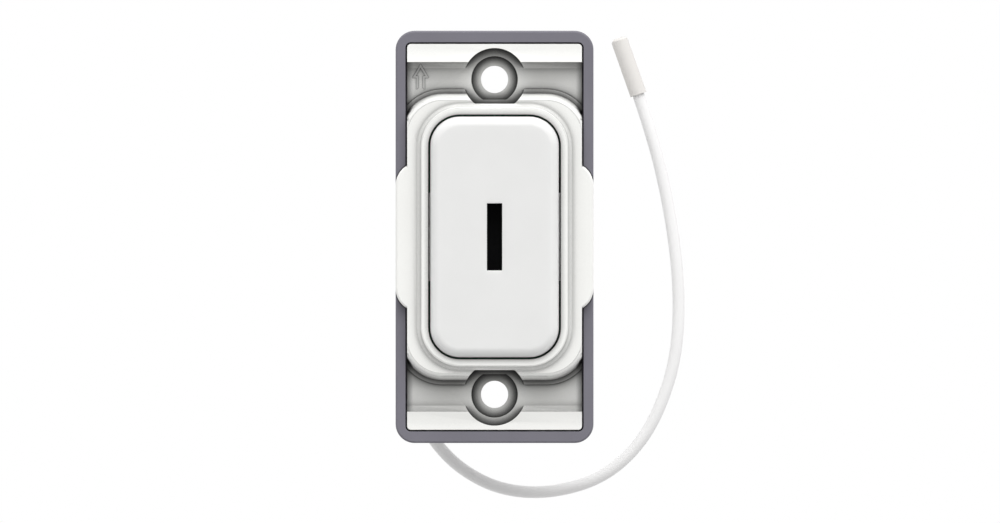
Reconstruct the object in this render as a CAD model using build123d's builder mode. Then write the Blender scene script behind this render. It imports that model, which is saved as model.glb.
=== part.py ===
from build123d import *
import math
import os

# Wireless key switch module for a grid plate, in millimetres.
# It lies on its back: +Z comes out of the rocker face, +Y points to its upper end,
# and the origin is at the middle of the rear face.

# Adaptor frame
frame_corner = 2.3
frame_side_wall = 1.2
frame_end_wall = 1.4
frame_depth = 4.0
frame_edge = 0.18
ledge_depth = 1.0
ledge_reach = 1.2
fit_gap = 0.2
rocker_side_margin = 4.2
screw_end_margin = 5.9

# Front housing: flange with its channels, plateau and ears
floor_rise = 2.2
plateau_rise = 5.6
flange_corner = 0.45
end_flange_width = 2.2
end_flange_level = 0.9
end_flange_rise = 0.3
end_foot_reach = 0.75
end_foot_height = 0.65
plateau_end_margin = 2.85
plateau_flare = 0.95
plateau_corner = 5.3
plateau_draft = 9.0
plateau_edge = 0.4
plateau_step = 0.45
plateau_step_height = 0.25
ear_length = 18.05
ear_corner = 2.75
ear_depth = 3.8
ear_edge = 0.2
ear_gap = 0.1

# Collar round the rocker
collar_width = 1.0
collar_height = 0.7
collar_draft = 12.0
collar_cove = 0.35
collar_lip_width = 0.6
collar_lip_fall = 0.1
collar_crest = 0.12

# Fixing holes, with the pockets for the screw heads
screw_pocket_wall = 0.3
screw_hole_radius = 1.65
bore_radius = 2.82
bore_flat = 2.45
bore_depth = 1.0
pocket_radius = 3.8
pocket_flat = 2.95

# Rear skirt
flange_overhang = 0.3
skirt_end_margin = 1.8
skirt_corner = 1.6
skirt_wall = 1.0
cavity_corner = 0.6
top_wall = 1.4
relief_width = 4.6
relief_length = 3.4
relief_depth = 0.8
relief_spacing = 13.2
bead_length = 5.0
bead_reach = 0.3
bead_height = 0.6

# Rocker
rocker_width = 15.6
rocker_length = 29.2
rocker_corner = 3.6
rocker_edge = 1.2
rocker_gap = 0.25
rocker_proud = 1.0
rocker_roof = 1.6
rocker_wall = 1.2
rocker_hem = 1.0
rocker_swing = 5.0
pivot_drop = 3.7
cheek_length = 10.7
cheek_proud = 0.2
cheek_drop = 2.1
trunnion_radius = 1.15
bearing_width = 4.4
running_gap = 0.05
leg_spacing_x = 10.4
leg_spacing_y = 15.0
leg_width = 1.6
leg_length = 2.0

# Key slot and the guide behind it
key_slot_width = 1.84
key_slot_length = 8.14
key_face = 1.2
guide_wall = 0.85
guide_depth = 3.7
guide_floor = 0.8
guide_holder_wall = 0.9
guide_holder_depth = 2.4

# Swing lever, armature and pin
axis_spacing = 3.5
lever_lift = 2.8
lever_plate = 0.8
lever_spine_width = 4.8
lever_hub_radius = 1.5
lever_hub_gap = 0.4
lever_pad_length = 2.4
pin_radius = 0.75
armature_thickness = 1.0
armature_clearance = 0.4
pole_gap = 0.1

# Generator: core, coil and magnet
core_thickness = 1.2
core_width = 3.2
core_bend = 0.6
coil_fit = 0.05
bobbin_tube_wall = 0.6
bobbin_lip = 0.3
bobbin_flange_thickness = 0.7
bobbin_end_gap = 0.1
winding_depth = 1.15
winding_corner = 0.8
magnet_thickness = 0.9
coil_pin_width = 0.5
coil_pin_inset = 0.8
coil_pin_tail = 0.6

# Generator chassis
chassis_side_wall = 1.9
chassis_end_margin = 0.6
chassis_corner = 0.6
chassis_height = 3.0
chassis_bay_gap = 0.6
toe_thickness = 0.5
toe_reach = 0.9
toe_width = 4.4
tower_rise = 1.4
foot_size = 1.8
foot_height = 1.8
foot_margin = 0.1

# Return springs
spring_end_margin = 1.7
spring_radius = 1.1
spring_wire = 0.28
spring_turns = 3.0
spring_seat_rise = 3.3
spring_seat_width = 4.2
spring_seat_length = 3.0
spring_slack = 0.05
peg_radius = 0.7
peg_length = 1.0

# Rear cover
cover_thickness = 1.4
cover_edge = 0.4
rim_height = 1.2
rim_wall = 0.9
rim_gap = 0.05
tab_end_margin = 6.4
tab_width = 3.0
tab_height = 4.2
barb_reach = 0.7
barb_height = 1.2
window_gap = 0.2
post_size = 2.2

# Circuit board and what is soldered to it
board_rise = 1.6
board_thickness = 0.8
board_margin = 0.3
board_notch_gap = 0.25
chip_size = 4.0
chip_height = 0.9
crystal_length = 3.2
crystal_width = 2.5
crystal_height = 0.8
capacitor_length = 3.5
capacitor_width = 2.8
capacitor_height = 1.4
rectifier_length = 2.9
rectifier_width = 1.6
rectifier_height = 1.0
lead_width = 0.4
lead_reach = 0.6
lead_pitch = 0.95
lead_thickness = 0.2
inductor_size = 3.0
inductor_height = 1.2
small_chip_length = 1.6
small_chip_width = 0.8
small_chip_height = 0.6
small_chip_pitch = 2.4
capacitor_gap = 1.0
chip_y = 5.2
crystal_y = 0.8
inductor_y = -4.2
capacitor_y = 2.4
rectifier_y = -3.6

# Aerial
wire_diameter = 1.45
wire_sides = 6
wire_inside = 3.5
exit_inset = 0.8
wire_fit = 0.05
sleeve_diameter = 2.05
sleeve_length = 7.26
sleeve_bore = 4.5
sleeve_edge = 0.35
solder_radius = 0.7
solder_neck = 0.4
conductor_radius = 0.35
conductor_length = 1.2

# Heights above the rear face, built up from the rear cover through the generator to the rocker
tube_width = core_width + 2 * (coil_fit + bobbin_tube_wall)
tube_height = core_thickness + 2 * (coil_fit + bobbin_tube_wall)
winding_width = tube_width + 2 * winding_depth
winding_height = tube_height + 2 * winding_depth
bobbin_flange_width = winding_width + 2 * bobbin_lip
bobbin_flange_height = winding_height + 2 * bobbin_lip
board_z = cover_thickness + board_rise
board_top_z = board_z + board_thickness
chassis_z = board_top_z + foot_height
chassis_top_z = chassis_z + chassis_height
core_z = chassis_z + toe_thickness + core_thickness / 2
magnet_z = core_z + bobbin_flange_height / 2
lever_z = magnet_z + magnet_thickness + lever_lift
armature_z = lever_z - lever_plate - armature_thickness
pivot_z = lever_z + axis_spacing
face_z = pivot_z + pivot_drop
hem_z = pivot_z - rocker_hem
roof_z = face_z - rocker_roof
spring_z = chassis_top_z + spring_seat_rise
collar_z = face_z - rocker_proud
plateau_z = collar_z - collar_height
ceiling_z = plateau_z - top_wall
seat_z = plateau_z - plateau_rise
ledge_z = seat_z + ledge_depth
floor_z = seat_z + floor_rise
flange_z = seat_z + frame_depth
wire_z = cover_thickness + wire_diameter / 2 + wire_fit

# Plan sizes that follow from the driving ones
opening_width = rocker_width + 2 * rocker_gap
opening_length = rocker_length + 2 * rocker_gap
opening_corner = rocker_corner + rocker_gap
collar_outer_width = opening_width + 2 * collar_width
collar_outer_length = opening_length + 2 * collar_width
screw_spacing = collar_outer_length + 2 * (screw_pocket_wall + pocket_flat)
frame_width = rocker_width + 2 * rocker_side_margin
frame_length = screw_spacing + 2 * screw_end_margin
flange_width = frame_width - 2 * (frame_side_wall + fit_gap)
flange_length = frame_length - 2 * (frame_end_wall + fit_gap)
skirt_width = flange_width - 2 * flange_overhang
cavity_width = skirt_width - 2 * skirt_wall
skirt_length = rocker_length + 2 * skirt_end_margin
cavity_length = skirt_length - 2 * skirt_wall
plateau_width = flange_width + 2 * plateau_flare
plateau_length = rocker_length + 2 * plateau_end_margin
tier_length = flange_length - 2 * (ledge_reach + fit_gap / 2)
bearing_radius = trunnion_radius + running_gap
trunnion_reach = cavity_width / 2 - fit_gap
guide_width = key_slot_width + 2 * guide_wall
guide_length = key_slot_length + 2 * guide_wall
guide_top_z = face_z - key_face
spring_spacing = rocker_length - 2 * (rocker_wall + spring_end_margin)
core_length = spring_spacing - spring_seat_length - 2 * armature_clearance
chassis_length = spring_spacing + spring_seat_length + 2 * chassis_end_margin
chassis_bay_width = bobbin_flange_width + 2 * chassis_bay_gap
chassis_width = chassis_bay_width + 2 * chassis_side_wall
lever_hub_length = chassis_width - 2 * lever_hub_gap
lever_spine_length = leg_spacing_y + lever_pad_length
coil_pin_spacing = bobbin_flange_width - 2 * coil_pin_inset
foot_spacing_x = chassis_width - foot_size - 2 * foot_margin
foot_spacing_y = chassis_length - foot_size - 2 * foot_margin
bobbin_length = core_length - 2 * (core_thickness + bobbin_end_gap)
board_width = cavity_width - 2 * board_margin
board_length = cavity_length - 2 * board_margin
rim_width = cavity_width - 2 * rim_gap
rim_length = cavity_length - 2 * rim_gap
tab_face = rim_width / 2
tab_spacing = cavity_length - 2 * tab_end_margin
side_column = (winding_width + board_width) / 4
end_row_y = (bobbin_length + board_length) / 4
overlap = 0.3
small_sides = 6

# The aerial leaves the skirt near its left corner and curls round to the right on the surface.
exit_x = exit_inset - cavity_width / 2
exit_y = -skirt_length / 2
wire_rest_z = wire_diameter / 2 + wire_fit
sleeve_z = sleeve_diameter / 2 + wire_fit
sleeve_start = Vector(17.46, 17.27, sleeve_z)
sleeve_axis = Vector(-0.332, 0.943, 0).normalized()
wire_tip = sleeve_start + sleeve_axis * sleeve_bore
wire_start = Vector(exit_x, exit_y + wire_inside, wire_z)
joint_y = wire_start.Y + conductor_length
wire_route = [
    wire_start,
    Vector(exit_x, exit_y - 1.8, wire_z),
    Vector(exit_x, exit_y - 5.7, 1.55),
    Vector(-7.55, -24.6, 1.15),
    Vector(-4.17, -28.2, wire_rest_z),
    Vector(0.88, -30.77, wire_rest_z),
    Vector(7.03, -31.1, wire_rest_z),
    Vector(13.49, -29.12, wire_rest_z),
    Vector(18.29, -24.49, wire_rest_z),
    Vector(21.17, -18.01, wire_rest_z),
    Vector(22.35, -11.96, wire_rest_z),
    Vector(22.28, -3.99, wire_rest_z),
    Vector(20.92, 5.08, wire_rest_z),
    Vector(18.79, 13.5, sleeve_z),
    wire_tip,
]


def bend_radii(points):
    """Largest tangent arcs that the runs on both sides of each inner point leave room for."""
    radii = []
    for before, here, after in zip(points, points[1:], points[2:]):
        run_in = here - before
        run_out = after - here
        turn = math.radians(run_in.get_angle(run_out))
        shorter = min(run_in.length, run_out.length)
        radii.append(0.45 * shorter / math.tan(turn / 2))
    return radii


def save(builder, name):
    """Names the finished piece and writes it as its own file."""
    builder.part.label = name
    export_step(builder.part, f"parts/{name}.step")


os.makedirs("parts", exist_ok=True)


# Raised plateau on a low step: drafted all round, then cut off square at the sides of the flange
with BuildPart() as plateau:
    with BuildSketch(Plane.XY.offset(floor_z)):
        RectangleRounded(plateau_width, plateau_length, plateau_corner)
    extrude(amount=plateau_z - floor_z, taper=plateau_draft)
    chamfer(plateau.faces().sort_by(Axis.Z)[-1].edges(), plateau_edge)
    step_width = plateau_width + 2 * plateau_step
    step_length = plateau_length + 2 * plateau_step
    with BuildSketch(Plane.XY.offset(floor_z)):
        RectangleRounded(step_width, step_length, plateau_corner + plateau_step)
    extrude(amount=plateau_step_height)
    with BuildSketch(Plane.XY.offset(floor_z)):
        Rectangle(flange_width, step_length)
    extrude(amount=plateau_z - floor_z, mode=Mode.INTERSECT)

# Side ears, level with the plateau, that reach over the notches in the frame
with BuildPart() as ears:
    with BuildSketch(Plane.XY.offset(plateau_z - ear_depth)):
        RectangleRounded(frame_width, ear_length, ear_corner)
    extrude(amount=ear_depth)
    chamfer(ears.faces().sort_by(Axis.Z)[-1].edges(), ear_edge)

# Front housing
with BuildPart() as front_housing:
    with BuildSketch(Plane.YZ):
        with BuildLine():
            Polyline(
                (0, ledge_z),
                (flange_length / 2, ledge_z),
                (flange_length / 2, flange_z),
                (flange_length / 2 - end_flange_level, flange_z),
                (flange_length / 2 - end_flange_width, flange_z + end_flange_rise),
                (flange_length / 2 - end_flange_width, floor_z + end_foot_height),
                (flange_length / 2 - end_flange_width - end_foot_reach, floor_z),
                (0, floor_z),
            )
            mirror(about=Plane.YZ)
        make_face()
    extrude(amount=flange_width / 2, both=True)
    upright_edges = front_housing.edges().filter_by(Axis.Z)
    outer_corners = upright_edges.filter_by(lambda e: abs(e.center().Y) > flange_length / 2 - fit_gap)
    fillet(outer_corners, flange_corner)
    add(plateau.part)
    add(ears.part)

    # Collar with a cove at its foot
    with BuildSketch(Plane.XY.offset(plateau_z)):
        RectangleRounded(collar_outer_width, collar_outer_length, opening_corner + collar_width)
    extrude(amount=collar_height, taper=collar_draft)
    collar_top = front_housing.faces().sort_by(Axis.Z)[-1]
    chamfer(collar_top.edges(), collar_crest)
    level_faces = front_housing.faces().filter_by(lambda f: abs(f.center().Z - plateau_z) < fit_gap / 4)
    plateau_top = level_faces.filter_by(GeomType.PLANE).sort_by(SortBy.AREA)[-1]
    chamfer(plateau_top.inner_wires()[0].edges(), collar_cove)

    # Tier under the flange that fills the frame, and the skirt behind it
    with BuildSketch(Plane.XY.offset(seat_z)):
        Rectangle(skirt_width, tier_length)
    extrude(amount=ledge_depth + overlap)
    with BuildSketch(Plane.XY.offset(cover_thickness)):
        RectangleRounded(skirt_width, skirt_length, skirt_corner)
    extrude(amount=seat_z - cover_thickness + overlap)
    with BuildSketch(Plane.XY.offset(cover_thickness)):
        RectangleRounded(cavity_width, cavity_length, cavity_corner)
    extrude(amount=ceiling_z - cover_thickness, mode=Mode.SUBTRACT)

    # Rocker opening with its sloping lip
    with BuildSketch(Plane.XY.offset(ceiling_z)):
        RectangleRounded(opening_width, opening_length, opening_corner)
    extrude(amount=collar_z - ceiling_z, mode=Mode.SUBTRACT)
    collar_ring = front_housing.faces().sort_by(Axis.Z)[-1]
    lip_edges = collar_ring.inner_wires()[0].edges()
    chamfer(lip_edges, collar_lip_width, collar_lip_fall, reference=collar_ring)

    # Screw holes, flat-sided counterbores and the pockets that clear the screw heads
    for end in (-1, 1):
        hole_y = end * screw_spacing / 2
        cut_length = 2 * pocket_radius
        with BuildSketch(Plane.XY.offset(floor_z)):
            with Locations((0, hole_y)):
                Circle(pocket_radius)
            with Locations((0, hole_y - end * (pocket_flat + cut_length / 2))):
                Rectangle(2 * cut_length, cut_length, mode=Mode.SUBTRACT)
        extrude(amount=collar_z - floor_z, mode=Mode.SUBTRACT)
        with BuildSketch(Plane.XY.offset(floor_z - bore_depth)):
            with Locations((0, hole_y)):
                Circle(bore_radius)
            with Locations((0, hole_y - end * (bore_flat + cut_length / 2))):
                Rectangle(2 * cut_length, cut_length, mode=Mode.SUBTRACT)
        extrude(amount=bore_depth, mode=Mode.SUBTRACT)
        with BuildSketch(Plane.XY.offset(seat_z)):
            with Locations((0, hole_y)):
                Circle(screw_hole_radius)
        extrude(amount=floor_rise, mode=Mode.SUBTRACT)

    # Hollows in the rear of the flange, beside the screw holes
    with BuildSketch(Plane.XY.offset(seat_z)):
        with GridLocations(relief_spacing, screw_spacing, 2, 2):
            Rectangle(relief_width, relief_length)
    extrude(amount=relief_depth, mode=Mode.SUBTRACT)

    # Upper halves of the rocker bearings, open to the rear
    bearing_depth = (cavity_width - opening_width) / 2
    with BuildSketch(Plane.XY.offset(pivot_z)):
        with GridLocations(opening_width + bearing_depth, 0, 2, 1):
            Rectangle(bearing_depth, bearing_width)
    extrude(amount=ceiling_z - pivot_z)
    with BuildSketch(Plane.YZ):
        with Locations((0, pivot_z)):
            Circle(bearing_radius)
    extrude(amount=cavity_width / 2, both=True, mode=Mode.SUBTRACT)

    # Snap beads on the sides of the tier that hold the frame
    bead_z = seat_z + ledge_depth / 2
    with BuildSketch(Plane.XZ):
        with BuildLine():
            Polyline(
                (skirt_width / 2 - overlap, bead_z - bead_height / 2),
                (skirt_width / 2, bead_z - bead_height / 2),
                (skirt_width / 2 + bead_reach, bead_z),
                (skirt_width / 2, bead_z + bead_height / 2),
                (skirt_width / 2 - overlap, bead_z + bead_height / 2),
                close=True,
            )
        make_face()
        mirror(about=Plane.YZ)
    extrude(amount=bead_length / 2, both=True)

    # Windows for the barbs of the rear cover, and the arched notch for the aerial
    window_height = barb_height + 2 * window_gap
    window_z = cover_thickness + tab_height - barb_height - window_gap
    with BuildSketch(Plane.XY.offset(window_z)):
        with GridLocations(0, tab_spacing, 1, 2):
            Rectangle(skirt_width + 1, tab_width + 2 * window_gap)
    extrude(amount=window_height, mode=Mode.SUBTRACT)
    with BuildSketch(Plane.XZ.offset(-exit_y)):
        with Locations((exit_x, wire_z)):
            Circle(wire_diameter / 2 + wire_fit)
        with Locations((exit_x, (cover_thickness + wire_z) / 2)):
            Rectangle(wire_diameter + 2 * wire_fit, wire_z - cover_thickness)
    extrude(amount=-2 * skirt_wall, mode=Mode.SUBTRACT)

save(front_housing, "front_housing")

# Adaptor frame: a ring with an inner ledge, notched at the sides for the ears
with BuildPart() as adaptor_frame:
    with BuildSketch(Plane.XY.offset(seat_z)):
        RectangleRounded(frame_width, frame_length, frame_corner)
    extrude(amount=frame_depth)
    chamfer(adaptor_frame.faces().sort_by(Axis.Z)[-1].edges(), frame_edge)
    with BuildSketch(Plane.XY.offset(ledge_z)):
        RectangleRounded(flange_width + 2 * fit_gap, flange_length + 2 * fit_gap, flange_corner + fit_gap)
    extrude(amount=frame_depth, mode=Mode.SUBTRACT)
    with BuildSketch(Plane.XY.offset(seat_z)):
        Rectangle(skirt_width + fit_gap, tier_length + fit_gap)
    extrude(amount=ledge_depth, mode=Mode.SUBTRACT)
    with BuildSketch(Plane.XY.offset(plateau_z - ear_depth - ear_gap)):
        RectangleRounded(frame_width + 2 * ear_gap, ear_length + 2 * ear_gap, ear_corner + ear_gap)
    extrude(amount=ear_depth, mode=Mode.SUBTRACT)
    groove_height = bead_height + fit_gap
    with BuildSketch(Plane.XZ):
        with BuildLine():
            Polyline(
                (skirt_width / 2, bead_z - groove_height / 2),
                (skirt_width / 2 + fit_gap / 2, bead_z - groove_height / 2),
                (skirt_width / 2 + fit_gap / 2 + bead_reach, bead_z),
                (skirt_width / 2 + fit_gap / 2, bead_z + groove_height / 2),
                (skirt_width / 2, bead_z + groove_height / 2),
                close=True,
            )
        make_face()
        mirror(about=Plane.YZ)
    extrude(amount=(bead_length + fit_gap) / 2, both=True, mode=Mode.SUBTRACT)

save(adaptor_frame, "adaptor_frame")

# Rocker: a shell with pivot cheeks, trunnions, four legs and a holder for the key guide
with BuildPart() as rocker:
    with BuildSketch(Plane.XY.offset(hem_z)):
        RectangleRounded(rocker_width, rocker_length, rocker_corner)
    extrude(amount=face_z - hem_z)
    fillet(rocker.faces().sort_by(Axis.Z)[-1].edges(), rocker_edge)
    with BuildSketch(Plane.XY.offset(hem_z)):
        inner_width = rocker_width - 2 * rocker_wall
        RectangleRounded(inner_width, rocker_length - 2 * rocker_wall, rocker_corner - rocker_wall)
    extrude(amount=roof_z - hem_z, mode=Mode.SUBTRACT)
    with BuildSketch(Plane.XY.offset(hem_z)):
        Rectangle(rocker_width + 2 * cheek_proud, cheek_length)
        Rectangle(rocker_width - 2 * overlap, cheek_length, mode=Mode.SUBTRACT)
    extrude(amount=face_z - cheek_drop - hem_z)
    for side in (-1, 1):
        with BuildSketch(Plane.YZ.offset(side * (rocker_width / 2 - overlap))):
            with Locations((0, pivot_z)):
                Circle(trunnion_radius)
        extrude(amount=side * (trunnion_reach - rocker_width / 2 + overlap))
    leg_tip_z = lever_z + running_gap
    with BuildSketch(Plane.XY.offset(leg_tip_z)):
        with GridLocations(leg_spacing_x, leg_spacing_y, 2, 2):
            Rectangle(leg_width, leg_length)
    extrude(amount=roof_z - leg_tip_z + overlap)
    holder_width = guide_width + 2 * (running_gap + guide_holder_wall)
    holder_length = guide_length + 2 * (running_gap + guide_holder_wall)
    with BuildSketch(Plane.XY.offset(roof_z - guide_holder_depth)):
        Rectangle(holder_width, holder_length)
    extrude(amount=guide_holder_depth + overlap)
    with BuildSketch(Plane.XY.offset(roof_z - peg_length)):
        with GridLocations(0, spring_spacing, 1, 2):
            RegularPolygon(peg_radius, small_sides)
    extrude(amount=peg_length + overlap)
    with BuildSketch(Plane.XY.offset(guide_top_z)):
        Rectangle(guide_width + 2 * running_gap, guide_length + 2 * running_gap)
    extrude(amount=hem_z - guide_top_z, mode=Mode.SUBTRACT)
    with BuildSketch(Plane.XY.offset(face_z)):
        Rectangle(key_slot_width, key_slot_length)
    extrude(amount=-key_face, mode=Mode.SUBTRACT)

save(rocker, "rocker")

# Key guide: a blind socket behind the slot
with BuildPart() as key_guide:
    with BuildSketch(Plane.XY.offset(guide_top_z)):
        Rectangle(guide_width, guide_length)
    extrude(amount=-guide_depth)
    with BuildSketch(Plane.XY.offset(guide_top_z)):
        Rectangle(key_slot_width, key_slot_length)
    extrude(amount=guide_floor - guide_depth, mode=Mode.SUBTRACT)
    chamfer(key_guide.edges().filter_by(Axis.Z).group_by(lambda e: round(abs(e.center().X), 3))[-1], overlap)

save(key_guide, "key_guide")

# Armature: soft-iron plate under the lever, with its ends over the poles
with BuildPart() as armature:
    with BuildSketch(Plane.XY.offset(armature_z)):
        Rectangle(core_width, core_length)
    extrude(amount=armature_thickness)

save(armature, "armature")

# Swing lever: spine over the armature, hub on the pin and four pads under the rocker legs
with BuildPart() as swing_lever:
    pad_z = lever_z - lever_plate
    with BuildSketch(Plane.XY.offset(pad_z)):
        Rectangle(lever_spine_width, lever_spine_length)
        with GridLocations(0, leg_spacing_y, 1, 2):
            Rectangle(leg_spacing_x + leg_width, lever_pad_length)
    extrude(amount=lever_plate)
    with BuildSketch(Plane.XY.offset(pad_z)):
        Rectangle(lever_spine_width, lever_spine_length)
    extrude(amount=-armature_thickness / 2)
    with BuildSketch(Plane.YZ):
        with Locations((0, lever_z)):
            Circle(lever_hub_radius)
    extrude(amount=lever_hub_length / 2, both=True)
    with BuildSketch(Plane.XY.offset(armature_z)):
        Rectangle(core_width + 2 * running_gap, core_length)
    extrude(amount=armature_thickness, mode=Mode.SUBTRACT)
    with BuildSketch(Plane.YZ):
        with Locations((0, lever_z)):
            Circle(pin_radius + running_gap)
    extrude(amount=lever_hub_length, both=True, mode=Mode.SUBTRACT)

save(swing_lever, "swing_lever")

# Lever pin, kept in place by the walls of the skirt
with BuildPart() as lever_pin:
    with BuildSketch(Plane.YZ):
        with Locations((0, lever_z)):
            Circle(pin_radius)
    extrude(amount=trunnion_reach, both=True)

save(lever_pin, "lever_pin")

# Flux core: a strip bent to a U, whose ends are the poles
swing = math.radians(rocker_swing)
pole_reach = core_length / 2
armature_drop = lever_z - armature_z
pole_z = lever_z - pole_reach * math.sin(swing) - armature_drop * math.cos(swing) - pole_gap
with BuildPart() as flux_core:
    with BuildSketch(Plane.YZ):
        with BuildLine():
            core_bottom = core_z - core_thickness / 2
            core_top = core_z + core_thickness / 2
            Polyline(
                (0, core_bottom),
                (pole_reach, core_bottom),
                (pole_reach, pole_z),
                (pole_reach - core_thickness, pole_z),
                (pole_reach - core_thickness, core_top),
                (0, core_top),
            )
            mirror(about=Plane.YZ)
        make_face()
    extrude(amount=core_width / 2, both=True)
    bends = flux_core.edges().filter_by(Axis.X).sort_by(Axis.Z)[:2]
    fillet(bends, core_bend)

save(flux_core, "flux_core")

# Coil bobbin: a tube on the core between two flanges
with BuildPart() as coil_bobbin:
    with BuildSketch(Plane.XZ):
        with Locations((0, core_z)):
            Rectangle(tube_width, tube_height)
    extrude(amount=bobbin_length / 2, both=True)
    for end in (-1, 1):
        with BuildSketch(Plane.XZ.offset(-end * bobbin_length / 2)):
            with Locations((0, core_z)):
                Rectangle(bobbin_flange_width, bobbin_flange_height)
        extrude(amount=end * bobbin_flange_thickness)
    with BuildSketch(Plane.XZ):
        with Locations((0, core_z)):
            Rectangle(core_width + 2 * coil_fit, core_thickness + 2 * coil_fit)
    extrude(amount=bobbin_length, both=True, mode=Mode.SUBTRACT)

save(coil_bobbin, "coil_bobbin")

# Coil winding between the flanges
with BuildPart() as coil_winding:
    with BuildSketch(Plane.XZ):
        with Locations((0, core_z)):
            RectangleRounded(winding_width, winding_height, winding_corner)
            Rectangle(tube_width, tube_height, mode=Mode.SUBTRACT)
    extrude(amount=bobbin_length / 2 - bobbin_flange_thickness, both=True)

save(coil_winding, "coil_winding")

# Bar magnet on the flanges, from pole to pole
with BuildPart() as bar_magnet:
    with BuildSketch(Plane.XY.offset(magnet_z)):
        Rectangle(core_width, core_length - 2 * core_thickness)
    extrude(amount=magnet_thickness)

save(bar_magnet, "bar_magnet")

# Coil pins from one flange through the board
pin_row_y = -(bobbin_length - bobbin_flange_thickness) / 2
with BuildPart() as coil_pins:
    with BuildSketch(Plane.XY.offset(core_z - bobbin_flange_height / 2)):
        with Locations((0, pin_row_y)):
            with GridLocations(coil_pin_spacing, 0, 2, 1):
                Rectangle(coil_pin_width, coil_pin_width)
    extrude(amount=board_z - coil_pin_tail - core_z + bobbin_flange_height / 2)

save(coil_pins, "coil_pins")

# Generator chassis: ring with toes under the core, spring seats, bearing towers and feet
with BuildPart() as generator_chassis:
    with BuildSketch(Plane.XY.offset(chassis_z)) as chassis_plan:
        Rectangle(chassis_width, chassis_length)
        chamfer(chassis_plan.vertices(), chassis_corner)
        Rectangle(chassis_bay_width, core_length + 2 * running_gap, mode=Mode.SUBTRACT)
    extrude(amount=chassis_height)
    toe_length = toe_reach + overlap
    with BuildSketch(Plane.XY.offset(chassis_z)):
        with GridLocations(0, core_length + 2 * running_gap - toe_reach + overlap, 1, 2):
            Rectangle(toe_width, toe_length)
    extrude(amount=toe_thickness)
    with BuildSketch(Plane.XY.offset(chassis_top_z - overlap)):
        with GridLocations(0, spring_spacing, 1, 2):
            Rectangle(spring_seat_width, spring_seat_length)
    extrude(amount=spring_seat_rise + overlap)
    tower_width = trunnion_reach + running_gap - chassis_width / 2
    with BuildSketch(Plane.XY.offset(chassis_z)):
        with GridLocations(chassis_width + tower_width - overlap, 0, 2, 1):
            Rectangle(tower_width + overlap, bearing_width)
    extrude(amount=lever_z + tower_rise - chassis_z)
    saddle_start = rocker_width / 2 + cheek_proud + fit_gap
    saddle_width = trunnion_reach + running_gap - saddle_start
    with BuildSketch(Plane.XY.offset(lever_z)):
        with GridLocations(2 * saddle_start + saddle_width, 0, 2, 1):
            Rectangle(saddle_width, bearing_width)
    extrude(amount=pivot_z - running_gap - lever_z)
    with BuildSketch(Plane.XY.offset(board_top_z)):
        with GridLocations(foot_spacing_x, foot_spacing_y, 2, 2):
            Rectangle(foot_size, foot_size)
    extrude(amount=foot_height + overlap)
    with BuildSketch(Plane.YZ):
        with Locations((0, pivot_z)):
            Circle(bearing_radius)
        with Locations((0, lever_z)):
            Circle(pin_radius + running_gap / 5)
    extrude(amount=cavity_width / 2, both=True, mode=Mode.SUBTRACT)
    with BuildSketch(Plane.XY.offset(spring_z)):
        with GridLocations(0, spring_spacing, 1, 2):
            RegularPolygon(peg_radius, small_sides)
    extrude(amount=peg_length)

save(generator_chassis, "generator_chassis")


def return_spring(place_y):
    """Compression spring with ends ground flat, standing between its seat and the rocker roof."""
    length = roof_z - spring_slack - spring_z
    with BuildPart() as spring:
        rise = length - spring_wire / 2
        with BuildLine(Plane.XY.offset(spring_z + spring_wire / 4)) as coil:
            Helix(pitch=rise / spring_turns, height=rise, radius=spring_radius)
        with BuildSketch(Plane(origin=coil.line @ 0, z_dir=coil.line % 0)):
            Rectangle(spring_wire, spring_wire)
        sweep(path=coil.line, is_frenet=True)
        with BuildSketch(Plane.XY.offset(spring_z)):
            Circle(2 * spring_radius)
        extrude(amount=length, mode=Mode.INTERSECT)
    spring.part = spring.part.moved(Location((0, place_y, 0)))
    return spring


return_spring_upper = return_spring(spring_spacing / 2)
save(return_spring_upper, "return_spring_upper")
return_spring_lower = return_spring(-spring_spacing / 2)
save(return_spring_lower, "return_spring_lower")

# Rear cover: plate, rim that plugs into the skirt, snap tabs and posts under the board
with BuildPart() as rear_cover:
    with BuildSketch(Plane.XY):
        RectangleRounded(skirt_width, skirt_length, skirt_corner)
    extrude(amount=cover_thickness)
    chamfer(rear_cover.faces().sort_by(Axis.Z)[0].edges(), cover_edge)
    with BuildSketch(Plane.XY.offset(cover_thickness)):
        RectangleRounded(rim_width, rim_length, cavity_corner)
        Rectangle(rim_width - 2 * rim_wall, rim_length - 2 * rim_wall, mode=Mode.SUBTRACT)
    extrude(amount=rim_height)
    with BuildSketch(Plane.XY.offset(cover_thickness)):
        with GridLocations(rim_width - rim_wall, tab_spacing, 2, 2):
            Rectangle(rim_wall, tab_width)
    extrude(amount=tab_height)
    barb_z = cover_thickness + tab_height
    for tab_y in (-tab_spacing / 2, tab_spacing / 2):
        with BuildSketch(Plane.XZ.offset(-tab_y)):
            with BuildLine():
                Polyline(
                    (tab_face - overlap, barb_z),
                    (tab_face, barb_z),
                    (tab_face + barb_reach, barb_z - barb_height),
                    (tab_face - overlap, barb_z - barb_height),
                    close=True,
                )
            make_face()
            mirror(about=Plane.YZ)
        extrude(amount=tab_width / 2, both=True)
    with BuildSketch(Plane.XY.offset(cover_thickness)):
        with GridLocations(foot_spacing_x, foot_spacing_y, 2, 2):
            Rectangle(post_size, post_size)
    extrude(amount=board_rise)
    gate_width = wire_diameter + 4 * wire_fit
    gate_length = joint_y + solder_radius + fit_gap + cavity_length / 2
    with BuildSketch(Plane.XY.offset(cover_thickness)):
        with Locations((exit_x, gate_length / 2 - cavity_length / 2)):
            Rectangle(gate_width, gate_length)
    extrude(amount=rim_height, mode=Mode.SUBTRACT)

save(rear_cover, "rear_cover")

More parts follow.
